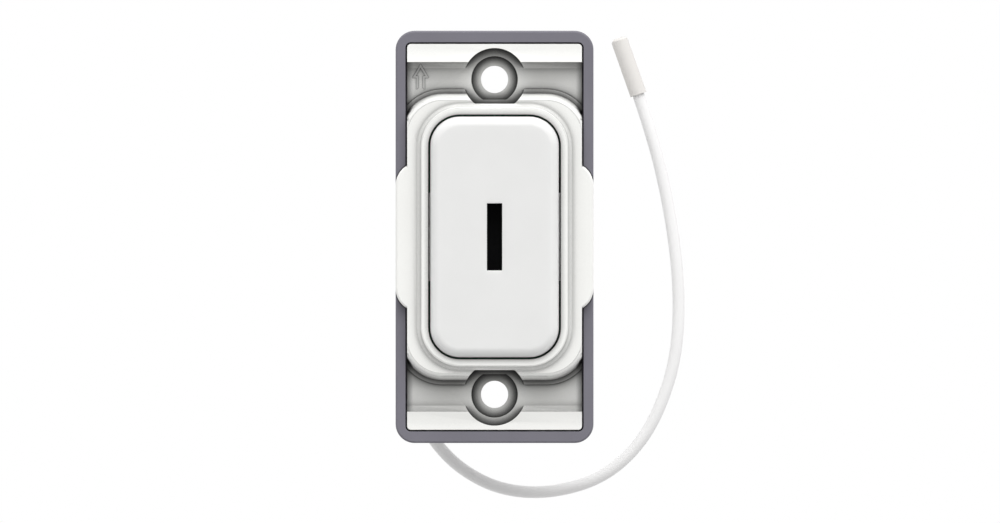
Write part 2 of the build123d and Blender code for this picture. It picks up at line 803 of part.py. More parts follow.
# Circuit board, notched for the snap tabs and drilled for the coil pins
with BuildPart() as circuit_board:
    with BuildSketch(Plane.XY.offset(board_z)):
        Rectangle(board_width, board_length)
        notch_depth = board_width / 2 - (rim_width / 2 - rim_wall) + board_notch_gap
        with GridLocations(board_width - notch_depth, tab_spacing, 2, 2):
            Rectangle(notch_depth, tab_width + 2 * board_notch_gap, mode=Mode.SUBTRACT)
        with Locations((0, pin_row_y)):
            with GridLocations(coil_pin_spacing, 0, 2, 1):
                Circle(coil_pin_width / math.sqrt(2) + running_gap, mode=Mode.SUBTRACT)
    extrude(amount=board_thickness)

save(circuit_board, "circuit_board")

# Radio chip in a flat square case
with BuildPart() as radio_chip:
    with BuildSketch(Plane.XY.offset(board_top_z)):
        with Locations((side_column, chip_y)):
            Rectangle(chip_size, chip_size)
    extrude(amount=chip_height)

save(radio_chip, "radio_chip")

# Crystal in a metal can on a wider foot
with BuildPart() as crystal:
    with BuildSketch(Plane.XY.offset(board_top_z)):
        with Locations((side_column, crystal_y)):
            Rectangle(crystal_width, crystal_length)
    extrude(amount=crystal_height / 2)
    with BuildSketch(Plane.XY.offset(board_top_z + crystal_height / 2)):
        with Locations((side_column, crystal_y)):
            Rectangle(crystal_width - overlap, crystal_length - overlap)
    extrude(amount=crystal_height / 2)

save(crystal, "crystal")

# Storage capacitors in a pair
with BuildPart() as storage_capacitors:
    with BuildSketch(Plane.XY.offset(board_top_z)):
        with Locations((-side_column, capacitor_y)):
            with GridLocations(0, capacitor_length + capacitor_gap, 1, 2):
                Rectangle(capacitor_width, capacitor_length)
    extrude(amount=capacitor_height)
    chamfer(storage_capacitors.faces().group_by(Axis.Z)[-1].edges(), capacitor_height / 8)

save(storage_capacitors, "storage_capacitors")

# Rectifier with three leads on each side
with BuildPart() as rectifier:
    with BuildSketch(Plane.XY.offset(board_top_z + lead_thickness / 2)):
        with Locations((-side_column, rectifier_y)):
            Rectangle(rectifier_width, rectifier_length)
    extrude(amount=rectifier_height)
    with BuildSketch(Plane.XY.offset(board_top_z)):
        with Locations((-side_column, rectifier_y)):
            with GridLocations(0, lead_pitch, 1, 3):
                Rectangle(rectifier_width + 2 * lead_reach, lead_width)
    extrude(amount=lead_thickness)

save(rectifier, "rectifier")

# Power inductor: a drum core
with BuildPart() as power_inductor:
    with BuildSketch(Plane.XY.offset(board_top_z)):
        with Locations((side_column, inductor_y)):
            Rectangle(inductor_size, inductor_size)
    extrude(amount=inductor_height)
    with BuildSketch(Plane.XY.offset(board_top_z + inductor_height / 3)):
        with Locations((side_column, inductor_y)):
            Rectangle(inductor_size, inductor_size)
            RegularPolygon(inductor_size / 2 - overlap, small_sides, mode=Mode.SUBTRACT)
    extrude(amount=inductor_height / 3, mode=Mode.SUBTRACT)

save(power_inductor, "power_inductor")

# Small chip resistors and capacitors in a row at the upper end
with BuildPart() as chip_parts:
    with BuildSketch(Plane.XY.offset(board_top_z)):
        with Locations((0, end_row_y)):
            with GridLocations(small_chip_pitch, small_chip_pitch, 3, 2):
                Rectangle(small_chip_width, small_chip_length)
    extrude(amount=small_chip_height)

save(chip_parts, "chip_parts")

# Aerial wire: straight runs joined by tangent arcs
radii = bend_radii(wire_route)
print("wire radii", [round(r, 1) for r in radii])
with BuildPart() as antenna_wire:
    with BuildLine() as route:
        FilletPolyline(*wire_route, radius=radii)
    with BuildSketch(Plane(origin=route.line @ 0, z_dir=route.line % 0)) as route_section:
        RegularPolygon(wire_diameter / 2, wire_sides)
    section_area = route_section.sketch.area
    sweep(path=route.line)
wire_length = route.wire().length
print("wire length", round(wire_length, 2))
print("wire volume", round(antenna_wire.part.volume, 2), "of", round(wire_length * section_area, 2))

save(antenna_wire, "antenna_wire")

# Sleeve over the end of the wire
with BuildPart() as antenna_sleeve:
    with BuildSketch(Plane(origin=sleeve_start, z_dir=sleeve_axis)):
        Circle(sleeve_diameter / 2)
    extrude(amount=sleeve_length)
    sleeve_ends = antenna_sleeve.faces().filter_by(GeomType.PLANE).sort_by(Axis.Y)
    chamfer(sleeve_ends[-1].edges(), sleeve_edge)
    with BuildSketch(Plane(origin=sleeve_start, z_dir=sleeve_axis)):
        Circle(wire_diameter / 2 + wire_fit)
    extrude(amount=sleeve_bore, mode=Mode.SUBTRACT)

save(antenna_sleeve, "antenna_sleeve")

# Soldered end of the aerial under the board
with BuildPart() as antenna_joint:
    with BuildSketch(Plane(origin=wire_start, z_dir=(0, 1, 0))):
        RegularPolygon(conductor_radius, small_sides)
    extrude(amount=conductor_length)
    for height, radius in ((wire_z, solder_neck), (board_z, solder_radius)):
        with BuildSketch(Plane.XY.offset(height)):
            with Locations((exit_x, joint_y)):
                RegularPolygon(radius, small_sides)
    loft(ruled=True)

save(antenna_joint, "antenna_joint")
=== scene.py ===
"""Looks of a wireless key switch module: finishes, aerial, moulded mark, studio and camera."""
import logging
import math
from dataclasses import dataclass
from enum import Enum

import bpy
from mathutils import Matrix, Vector


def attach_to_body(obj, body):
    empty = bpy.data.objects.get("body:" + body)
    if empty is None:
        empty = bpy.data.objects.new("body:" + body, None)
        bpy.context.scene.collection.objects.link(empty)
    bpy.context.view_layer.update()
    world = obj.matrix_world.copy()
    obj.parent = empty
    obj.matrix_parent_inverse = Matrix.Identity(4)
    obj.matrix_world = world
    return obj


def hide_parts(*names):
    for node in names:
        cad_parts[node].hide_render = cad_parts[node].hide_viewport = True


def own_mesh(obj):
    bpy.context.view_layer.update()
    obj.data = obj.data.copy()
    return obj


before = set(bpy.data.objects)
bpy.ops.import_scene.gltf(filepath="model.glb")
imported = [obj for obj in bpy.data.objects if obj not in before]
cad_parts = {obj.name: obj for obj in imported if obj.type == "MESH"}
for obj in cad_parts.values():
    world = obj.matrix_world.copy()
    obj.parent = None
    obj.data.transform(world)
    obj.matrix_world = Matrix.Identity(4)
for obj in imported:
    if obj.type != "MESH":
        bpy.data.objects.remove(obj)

LOG = logging.getLogger("key_switch")
MM = 0.001

# Photograph: its width and middle in pixels, pixels for each millimetre, and the module's middle in pixels
PHOTO_WIDTH = 1000
PHOTO_SCALE = 8.245
PHOTO_CENTRE = (500.0, 261.5)
MODULE_CENTRE = (494.55, 236.9)

# Clean-up of a copied node: points merge within a gap in millimetres, faces within an angle in degrees
MERGE_GAP = 0.001
FLAT_ANGLE = 0.3

# Sockets of a Mix node that is set to colours
MIX_SHARE = 0
MIX_FIRST = 6
MIX_SECOND = 7
MIX_RESULT = 2

# Range that holds most of a noise's values, and the angle that a wave texture turns through in each unit
NOISE_LOW = 0.3
NOISE_HIGH = 0.7
WAVE_ANGLE = 20.0

# Rays that feel for walls and for edges
HOLLOW_SAMPLES = 8
EDGE_SAMPLES = 4

Colour = tuple[float, float, float]
Point = tuple[float, float, float]
Socket = bpy.types.NodeSocket


class Body(Enum):
    """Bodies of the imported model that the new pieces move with."""

    MODULE = "module"
    ROCKER = "rocker"


class Grain(Enum):
    """Kinds of fine surface relief, as (size in millimetres, depth in millimetres)."""

    POLISHED = (0.9, 0.002)
    SATIN = (0.35, 0.004)
    SPARKED = (0.16, 0.012)
    SOFT = (0.6, 0.006)


class NodeGraph:
    """A short way to add and join the nodes of one tree."""

    def __init__(self, tree: bpy.types.NodeTree) -> None:
        """Takes up a node tree.

        Args:
            tree: the tree of a material or a world.
        """
        self.tree = tree

    def add(self, kind: str, **values: object) -> bpy.types.Node:
        """Adds a node and sets its properties and sockets.

        Args:
            kind: the node's type name, without its prefix.
            values: properties by name, or socket values by socket name with spaces as underscores.

        Returns:
            The new node.
        """
        node = self.tree.nodes.new("ShaderNode" + kind)
        for key, value in values.items():
            if hasattr(node, key):
                setattr(node, key, value)
            else:
                node.inputs[key.replace("_", " ")].default_value = value
        return node

    def join(self, source: Socket, target: Socket) -> None:
        """Links two sockets."""
        self.tree.links.new(source, target)

    def reckon(self, operation: str, value: Socket, *numbers: float) -> Socket:
        """Works out a value from another one and fixed numbers.

        Args:
            operation: the sum's name.
            value: the value that it starts from.
            numbers: the numbers that follow.

        Returns:
            The result's socket.
        """
        node = self.add("Math", operation=operation)
        self.join(value, node.inputs[0])
        for place, number in enumerate(numbers, start=1):
            node.inputs[place].default_value = number
        return node.outputs["Value"]


class MaterialGraph(NodeGraph):
    """The nodes of a new material, with the patterns and effects that the finishes share."""

    def __init__(self, name: str) -> None:
        """Starts a material with its shader and output.

        Args:
            name: the material's name.
        """
        self.material = bpy.data.materials.new(name)
        self.material.use_nodes = True
        super().__init__(self.material.node_tree)
        self.shader = self.tree.nodes["Principled BSDF"]

    def set(self, **values: object) -> None:
        """Sets constants on the shader's own sockets."""
        for key, value in values.items():
            self.shader.inputs[key.replace("_", " ")].default_value = value

    def place(self, scale: Point = (1.0, 1.0, 1.0)) -> Socket:
        """Gives Object coordinates in millimetres.

        Args:
            scale: stretch of the pattern along each axis.

        Returns:
            The vector socket that a texture reads.
        """
        coordinates = self.add("TexCoord")
        mapping = self.add("Mapping")
        mapping.inputs["Scale"].default_value = [s / MM for s in scale]
        self.join(coordinates.outputs["Object"], mapping.inputs["Vector"])
        return mapping.outputs["Vector"]

    def noise(self, place: Socket, size: float, detail: float = 3.0) -> Socket:
        """Adds a noise of the given feature size.

        Args:
            place: the coordinates that it reads.
            size: feature size in millimetres.
            detail: octaves of finer noise.

        Returns:
            The noise's value socket.
        """
        node = self.add("TexNoise", Scale=1.0 / size, Detail=detail)
        self.join(place, node.inputs["Vector"])
        return node.outputs["Fac"]

    def ramp(self, value: Socket, low: float, high: float) -> Socket:
        """Maps a noise's middle range to two numbers.

        Args:
            value: the noise's value socket.
            low: result at the noise's low end.
            high: result at its high end.

        Returns:
            The mapped value socket.
        """
        node = self.add("MapRange", From_Min=NOISE_LOW, From_Max=NOISE_HIGH, To_Min=low, To_Max=high)
        self.join(value, node.inputs["Value"])
        return node.outputs["Result"]

    def tint(self, value: Socket, first: Colour, second: Colour) -> Socket:
        """Mixes two colours by a value.

        Args:
            value: the share of the second colour.
            first: colour at 0.
            second: colour at 1.

        Returns:
            The colour socket.
        """
        node = self.add("Mix", data_type="RGBA")
        node.inputs[MIX_FIRST].default_value = (*first, 1.0)
        node.inputs[MIX_SECOND].default_value = (*second, 1.0)
        self.join(value, node.inputs[MIX_SHARE])
        return node.outputs[MIX_RESULT]

    def paint_hollow_shade(self, colour: Socket, reach: float, bite: float, own: bool) -> Socket:
        """Paints shade into a colour: darkens it in hollows and beside walls, where shade falls.

        Args:
            colour: the colour socket.
            reach: how far walls still shade a hollow, in millimetres.
            bite: how strongly they do.
            own: whether only the piece's own walls count.

        Returns:
            The darkened colour socket.
        """
        open_sky = self.add("AmbientOcclusion", samples=HOLLOW_SAMPLES, only_local=own, Distance=reach * MM)
        node = self.add("Mix", data_type="RGBA", blend_type="MULTIPLY")
        node.inputs[MIX_SHARE].default_value = 1.0
        self.join(colour, node.inputs[MIX_FIRST])
        self.join(self.reckon("POWER", open_sky.outputs["AO"], bite), node.inputs[MIX_SECOND])
        return node.outputs[MIX_RESULT]

    def wear(self, colour: Socket, roughness: Socket) -> None:
        """Gives the shader its colour and roughness."""
        self.join(colour, self.shader.inputs["Base Color"])
        self.join(roughness, self.shader.inputs["Roughness"])

    def relief(self, height: Socket, depth: float, edge: float) -> None:
        """Gives the shader a fine relief and softly broken edges.

        Args:
            height: the height pattern.
            depth: its depth in millimetres.
            edge: radius of the broken edges in millimetres, or 0.
        """
        bump = self.add("Bump", Strength=1.0, Distance=depth * MM)
        self.join(height, bump.inputs["Height"])
        if edge > 0:
            broken = self.add("Bevel", samples=EDGE_SAMPLES, Radius=edge * MM)
            self.join(broken.outputs["Normal"], bump.inputs["Normal"])
        self.join(bump.outputs["Normal"], self.shader.inputs["Normal"])


@dataclass(frozen=True)
class Finish:
    """A surface finish that can be made into a material once.

    Attributes:
        name: plain name of the finish.
        colour: base colour, linear.
    """

    name: str
    colour: Colour

    def material(self) -> bpy.types.Material:
        """Returns the finish's material, made at its first use."""
        known = bpy.data.materials.get(self.label())
        return known if known else self.make()

    def label(self) -> str:
        """Returns the material's name, apart from the plain one that the frame brings."""
        return "finish_" + self.name

    def make(self) -> bpy.types.Material:
        """Builds the material's nodes."""
        raise NotImplementedError

    def shade(self, share: float) -> Colour:
        """Returns the base colour times a share."""
        return tuple(c * share for c in self.colour)


@dataclass(frozen=True)
class Moulding(Finish):
    """Moulded plastic with a fine grain, faint mottle, softly broken edges and, where reach is above 0,
    shade painted into its colour in hollows and beside neighbouring parts.

    Attributes:
        roughness: middle roughness.
        spread: how far the roughness varies either way.
        grain: kind of surface relief.
        mottle: share by which the colour varies.
        cloud: size of the mottle in millimetres.
        edge: radius of the broken edges in millimetres, or 0.
        gloss: specular level.
        reach: how far the shade painted from its own walls reaches into a hollow in millimetres, or 0 for
            no painted shade.
        bite: how dark that painted shade gets.
        near: how far the shade painted beside its neighbours reaches in millimetres.
        nip: how dark that painted shade gets.
        milk: share of the light that wanders under the surface.
        depth: how far it wanders in millimetres.
    """

    roughness: float = 0.45
    spread: float = 0.05
    grain: Grain = Grain.SATIN
    mottle: float = 0.02
    cloud: float = 6.0
    edge: float = 0.08
    gloss: float = 0.4
    reach: float = 0.0
    bite: float = 1.0
    near: float = 1.0
    nip: float = 1.0
    milk: float = 0.0
    depth: float = 0.8

    def make(self) -> bpy.types.Material:
        """Builds the plastic.

        Returns:
            The new material.
        """
        graph = MaterialGraph(self.label())
        place = graph.place()
        size, relief = self.grain.value
        cloud = graph.noise(place, self.cloud, detail=2.0)
        grain = graph.noise(place, size, detail=4.0)
        colour = graph.tint(graph.ramp(cloud, 0.0, 1.0), self.shade(1.0 - self.mottle), self.colour)
        # Painted shade: the colour is darkened in its own hollows and beside neighbouring parts.
        if self.reach > 0:
            colour = graph.paint_hollow_shade(colour, self.reach, self.bite, own=True)
            colour = graph.paint_hollow_shade(colour, self.near, self.nip, own=False)
        graph.wear(colour, graph.ramp(grain, self.roughness - self.spread, self.roughness + self.spread))
        graph.set(Specular_IOR_Level=self.gloss, Subsurface_Weight=self.milk)
        graph.set(Subsurface_Radius=(1.0, 1.0, 1.0), Subsurface_Scale=self.depth * MM)
        graph.relief(grain, relief, self.edge)
        return graph.material


@dataclass(frozen=True)
class Metal(Finish):
    """Metal with a drawn or rolled grain along one axis.

    Attributes:
        roughness: middle roughness.
        smoother: how far the roughness falls in the grain.
        rougher: how far it rises.
        along: stretch of the grain along each axis; small values draw it out.
        line: width of the grain's lines in millimetres.
        groove: their depth in millimetres.
        dull: share of the colour that is left in them.
        edge: radius of the broken edges in millimetres.
    """

    roughness: float = 0.3
    smoother: float = 0.08
    rougher: float = 0.1
    along: Point = (1.0, 0.08, 1.0)
    line: float = 0.25
    groove: float = 0.004
    dull: float = 0.85
    edge: float = 0.03

    def make(self) -> bpy.types.Material:
        """Builds the metal.

        Returns:
            The new material.
        """
        graph = MaterialGraph(self.label())
        lines = graph.noise(graph.place(self.along), self.line, detail=4.0)
        colour = graph.tint(graph.ramp(lines, 0.0, 1.0), self.shade(self.dull), self.colour)
        graph.wear(colour, graph.ramp(lines, self.roughness - self.smoother, self.roughness + self.rougher))
        graph.set(Metallic=1.0)
        graph.relief(lines, self.groove, self.edge)
        return graph.material


@dataclass(frozen=True)
class Winding(Finish):
    """Enamelled wire wound side by side along Y.

    Attributes:
        pitch: distance from turn to turn in millimetres.
        wobble: how unevenly the turns lie.
        groove: depth between turns in millimetres.
        dull: share of the colour that is left between turns.
        cloud: size of the patches that differ in roughness, in millimetres.
        roughness: lowest and highest roughness.
        metal: how much of a metal shows through the enamel.
        enamel: weight of the clear coat.
    """

    pitch: float = 0.12
    wobble: float = 0.6
    groove: float = 0.04
    dull: float = 0.45
    cloud: float = 0.5
    roughness: tuple[float, float] = (0.2, 0.35)
    metal: float = 0.85
    enamel: float = 0.4

    def make(self) -> bpy.types.Material:
        """Builds the winding.

        Returns:
            The new material.
        """
        graph = MaterialGraph(self.label())
        place = graph.place()
        scale = 2 * math.pi / (WAVE_ANGLE * self.pitch)
        turns = graph.add("TexWave", bands_direction="Y", Scale=scale, Distortion=self.wobble)
        graph.join(place, turns.inputs["Vector"])
        colour = graph.tint(turns.outputs["Fac"], self.shade(self.dull), self.colour)
        graph.wear(colour, graph.ramp(graph.noise(place, self.cloud), *self.roughness))
        graph.set(Metallic=self.metal, Coat_Weight=self.enamel)
        graph.relief(turns.outputs["Fac"], self.groove, edge=0.0)
        return graph.material


@dataclass(frozen=True)
class Laminate(Finish):
    """Lacquered board with faint copper runs under the lacquer.

    Attributes:
        run: colour over a copper run.
        run_width: width of a run in millimetres.
        run_height: how far a run stands up in millimetres.
        pitch: distance between runs in millimetres.
        stretch: length between cross runs, in pitches.
        cloud: size of the patches that differ in roughness, in millimetres.
        roughness: lowest and highest roughness.
        lacquer: weight of the clear coat.
    """

    run: Colour = (0.05, 0.30, 0.14)
    run_width: float = 0.12
    run_height: float = 0.03
    pitch: float = 1.3
    stretch: float = 3.0
    cloud: float = 0.8
    roughness: tuple[float, float] = (0.25, 0.4)
    lacquer: float = 0.3

    def make(self) -> bpy.types.Material:
        """Builds the laminate.

        Returns:
            The new material.
        """
        graph = MaterialGraph(self.label())
        place = graph.place()
        runs = graph.add("TexBrick", Scale=1.0, Mortar_Size=self.run_width, Row_Height=self.pitch)
        runs.inputs["Brick Width"].default_value = self.stretch * self.pitch
        graph.join(place, runs.inputs["Vector"])
        colour = graph.tint(runs.outputs["Fac"], self.colour, self.run)
        graph.wear(colour, graph.ramp(graph.noise(place, self.cloud), *self.roughness))
        graph.set(Coat_Weight=self.lacquer)
        graph.relief(runs.outputs["Fac"], self.run_height, edge=0.0)
        return graph.material


# The white moulding's colour carries painted shade: it is darkened in hollows and beside walls and
# neighbouring parts.
WHITE = Moulding(
    "white_moulding",
    (0.87, 0.87, 0.855),
    roughness=0.48,
    gloss=0.25,
    reach=3.0,
    bite=1.7,
    near=1.0,
    nip=2.4,
)
ROCKER_WHITE = Moulding(
    "rocker_moulding",
    (0.78, 0.78, 0.78),
    roughness=0.42,
    grain=Grain.POLISHED,
    gloss=0.25,
    milk=0.7,
    depth=1.0,
)
JACKET = Moulding(
    "wire_jacket",
    (0.86, 0.855, 0.86),
    roughness=0.6,
    grain=Grain.POLISHED,
    edge=0.0,
    gloss=0.15,
)
SLEEVE = Moulding(
    "sleeve_jacket",
    (0.72, 0.70, 0.68),
    roughness=0.6,
    grain=Grain.SOFT,
    edge=0.1,
    gloss=0.2,
)
GREY = Moulding("grey_moulding", (0.176, 0.170, 0.202), roughness=0.5, grain=Grain.SPARKED, mottle=0.08)
BLACK = Moulding("black_moulding", (0.004, 0.004, 0.005), roughness=0.6, mottle=0.2, gloss=0.1)
NATURAL = Moulding("natural_moulding", (0.72, 0.69, 0.58), roughness=0.4)
# Painted shade: the arrow is white moulding, and this grey stands in for the shading along its raised line.
SHADED_MARK = Moulding("mark_shaded_moulding", (0.52, 0.52, 0.515), roughness=0.5, edge=0.0)
CHIP_CASE = Moulding("chip_case", (0.02, 0.02, 0.022), roughness=0.6, grain=Grain.SPARKED, mottle=0.2)
FERRITE = Moulding("ferrite", (0.07, 0.07, 0.075), roughness=0.7, grain=Grain.SPARKED, mottle=0.25)
CAPACITOR = Moulding("capacitor_body", (0.46, 0.32, 0.20), roughness=0.5, mottle=0.15)
IRON = Metal("soft_iron", (0.50, 0.50, 0.51), roughness=0.38)
STEEL = Metal("spring_steel", (0.62, 0.62, 0.63), roughness=0.28)
MAGNET = Metal("magnet_alloy", (0.72, 0.72, 0.70), roughness=0.22)
CAN = Metal("can_metal", (0.75, 0.74, 0.70), roughness=0.3)
TIN = Metal("tinned_metal", (0.70, 0.70, 0.70), roughness=0.35, along=(0.6, 0.6, 0.6))
COPPER = Winding("copper_winding", (0.72, 0.30, 0.12))
LAMINATE = Laminate("board_laminate", (0.02, 0.19, 0.08))


def select_only(piece: bpy.types.Object) -> None:
    """Makes one object the whole selection."""
    bpy.ops.object.select_all(action="DESELECT")
    piece.select_set(True)
    bpy.context.view_layer.objects.active = piece


def dress(piece: bpy.types.Object, finish: Finish) -> None:
    """Gives an object one finish in place of any that it has.

    Args:
        piece: the object.
        finish: its finish.
    """
    piece.data.materials.clear()
    piece.data.materials.append(finish.material())


def dress_nodes(finishes: dict[str, Finish]) -> None:
    """Dresses CAD nodes that stay as they are.

    Args:
        finishes: finish of each node, by its name.
    """
    for node, finish in finishes.items():
        dress(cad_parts[node], finish)
        LOG.info("node %s: %s", node, finish.name)


def attach(piece: bpy.types.Object, body: Body, slot: str, *nodes: str) -> bpy.types.Object:
    """Ties a finished piece to its body and hides the nodes that it stands for.

    Args:
        piece: the finished piece.
        body: the body that it moves with.
        slot: the record's material slot; not used.
        nodes: CAD nodes that it replaces.

    Returns:
        The same piece.
    """
    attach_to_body(piece, body.value)
    if nodes:
        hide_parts(*nodes)
    LOG.info("piece %s: rides %s, replaces %s", piece.name, body.value, nodes)
    return piece


def smooth_copy(node: str, finish: Finish, body: Body, crease: float = 32.0) -> bpy.types.Object:
    """Makes a merged and smoothly shaded copy of a node, which replaces it.

    Args:
        node: the CAD node's name.
        finish: the copy's finish.
        body: the body that it moves with.
        crease: angle in degrees above which an edge stays sharp.

    Returns:
        The copy.
    """
    copy = bpy.data.objects.new(node + "_skin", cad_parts[node].data.copy())
    bpy.context.scene.collection.objects.link(copy)
    select_only(copy)
    bpy.ops.mesh.customdata_custom_splitnormals_clear()
    bpy.ops.object.mode_set(mode="EDIT")
    bpy.ops.mesh.select_all(action="SELECT")
    bpy.ops.mesh.remove_doubles(threshold=MERGE_GAP * MM)
    bpy.ops.mesh.dissolve_limited(angle_limit=math.radians(FLAT_ANGLE))
    bpy.ops.object.mode_set(mode="OBJECT")
    bpy.ops.object.shade_smooth_by_angle(angle=math.radians(crease))
    weigh = copy.modifiers.new("weigh", "WEIGHTED_NORMAL")
    weigh.keep_sharp = True
    bpy.ops.object.modifier_apply(modifier=weigh.name)
    dress(copy, finish)
    return attach(copy, body, finish.name, node)


@dataclass
class FrontMoulding:
    """White front moulding with its rear cover and the arrow mark in the upper channel.

    Attributes:
        mark_x: middle of the arrow across, in millimetres.
        mark_tip: where the arrow's tip lies along the module.
        mark_neck: where head and shaft meet.
        mark_foot: where the shaft ends.
        head_half: half the width of the head.
        shaft_half: half the width of the shaft.
        stroke: width of the raised line.
        rise: how far the line stands up.
        floor: height of the channel floor.
        slope_start: where the floor begins to slope up to the end wall.
        slope: rise of that slope for each millimetre.
        crease: angle above which the moulding's edges stay sharp, in degrees.
    """

    mark_x: float = -8.97
    mark_tip: float = 20.95
    mark_neck: float = 19.3
    mark_foot: float = 17.9
    head_half: float = 0.98
    shaft_half: float = 0.5
    stroke: float = 0.22
    rise: float = 0.08
    floor: float = 15.2
    slope_start: float = 20.45
    slope: float = 0.65 / 0.75
    crease: float = 42.0

    def build(self) -> None:
        """Builds and dresses the moulding, its cover and its mark."""
        smooth_copy("front_housing", WHITE, Body.MODULE, self.crease)
        smooth_copy("rear_cover", WHITE, Body.MODULE)
        self.build_mark()

    def outline(self) -> list[tuple[float, float]]:
        """Returns the corners of the arrow, clockwise from its tip."""
        right = [
            (self.head_half, self.mark_neck),
            (self.shaft_half, self.mark_neck),
            (self.shaft_half, self.mark_foot),
        ]
        left = [(-x, y) for x, y in reversed(right)]
        return [(0.0, self.mark_tip), *right, *left]

    def build_mark(self) -> bpy.types.Object:
        """Raises the arrow's outline, open at its foot, from the channel floor and the slope at its end, in
        a grey that paints the shade along its line.

        Returns:
            The mark.
        """
        corners = self.outline()
        bpy.ops.object.select_all(action="DESELECT")
        bpy.ops.mesh.primitive_circle_add(vertices=len(corners), fill_type="NGON", radius=MM)
        mark = bpy.context.object
        mark.name = "arrow_mark"
        for vertex, (x, y) in zip(mark.data.vertices, corners):
            vertex.co = Vector((x + self.mark_x, y, self.floor)) * MM
        bpy.ops.object.mode_set(mode="EDIT")
        bpy.ops.mesh.select_all(action="SELECT")
        bpy.ops.mesh.normals_make_consistent(inside=False)
        bpy.ops.mesh.inset(thickness=self.stroke * MM)
        bpy.ops.mesh.delete(type="FACE")
        self.open_foot(mark)
        bpy.ops.mesh.select_all(action="SELECT")
        fold = Vector((0.0, self.slope_start, 0.0)) * MM
        bpy.ops.mesh.bisect(plane_co=fold, plane_no=(0.0, 1.0, 0.0))
        self.lift(mark)
        bpy.ops.mesh.select_all(action="SELECT")
        bpy.ops.mesh.extrude_region_move(TRANSFORM_OT_translate={"value": (0, 0, self.rise * MM)})
        bpy.ops.mesh.select_all(action="SELECT")
        bpy.ops.mesh.normals_make_consistent(inside=False)
        bpy.ops.object.mode_set(mode="OBJECT")
        # The arrow's grey is painted shade on what is white moulding.
        dress(mark, SHADED_MARK)
        return attach(mark, Body.MODULE, "white_moulding")

    def open_foot(self, mark: bpy.types.Object) -> None:
        """Takes away the line across the arrow's foot, in edit mode.

        Args:
            mark: the flat outline.
        """
        bpy.ops.object.mode_set(mode="OBJECT")
        lowest = min(mark.data.polygons, key=lambda face: face.center.y)
        for face in mark.data.polygons:
            face.select = face == lowest
        bpy.ops.object.mode_set(mode="EDIT")
        bpy.ops.mesh.delete(type="FACE")

    def lift(self, mark: bpy.types.Object) -> None:
        """Lifts the arrow's tip onto the slope, in edit mode.

        Args:
            mark: the flat outline, cut where the slope begins.
        """
        bpy.ops.object.mode_set(mode="OBJECT")
        for vertex in mark.data.vertices:
            vertex.co.z += max(0.0, vertex.co.y - self.slope_start * MM) * self.slope
        bpy.ops.object.mode_set(mode="EDIT")


@dataclass
class Surround:
    """Grey adaptor frame."""

    def build(self) -> None:
        """Builds and dresses the frame."""
        smooth_copy("adaptor_frame", GREY, Body.MODULE)


@dataclass
class KeyRocker:
    """White rocker with the black key guide behind its slot."""

    def build(self) -> None:
        """Builds and dresses the rocker and its guide."""
        smooth_copy("rocker", ROCKER_WHITE, Body.ROCKER)
        smooth_copy("key_guide", BLACK, Body.ROCKER)


@dataclass
class Generator:
    """The inner generator, with its return springs.

    Attributes:
        spring_keep: share of a spring's length that is left at the rocker's limit; not used.
    """

    spring_keep: float = 0.84

    def build(self) -> None:
        """Dresses the generator and builds its springs."""
        dress_nodes({
            "generator_chassis": BLACK,
            "flux_core": IRON,
            "coil_bobbin": BLACK,
            "coil_winding": COPPER,
            "bar_magnet": MAGNET,
            "coil_pins": TIN,
            "armature": IRON,
            "swing_lever": NATURAL,
            "lever_pin": STEEL,
        })
        for node in ("return_spring_upper", "return_spring_lower"):
            self.build_spring(node)

    def build_spring(self, node: str) -> None:
        """Builds one spring as a smoothly shaded copy with a mesh of its own.

        Args:
            node: the spring's CAD node.
        """
        spring = smooth_copy(node, STEEL, Body.MODULE)
        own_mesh(spring)


@dataclass
class RadioBoard:
    """Circuit board and what is soldered to it."""

    def build(self) -> None:
        """Dresses the board and its parts."""
        dress_nodes({
            "circuit_board": LAMINATE,
            "radio_chip": CHIP_CASE,
            "rectifier": CHIP_CASE,
            "crystal": CAN,
            "storage_capacitors": CAPACITOR,
            "chip_parts": CAPACITOR,
            "power_inductor": FERRITE,
            "antenna_joint": TIN,
        })


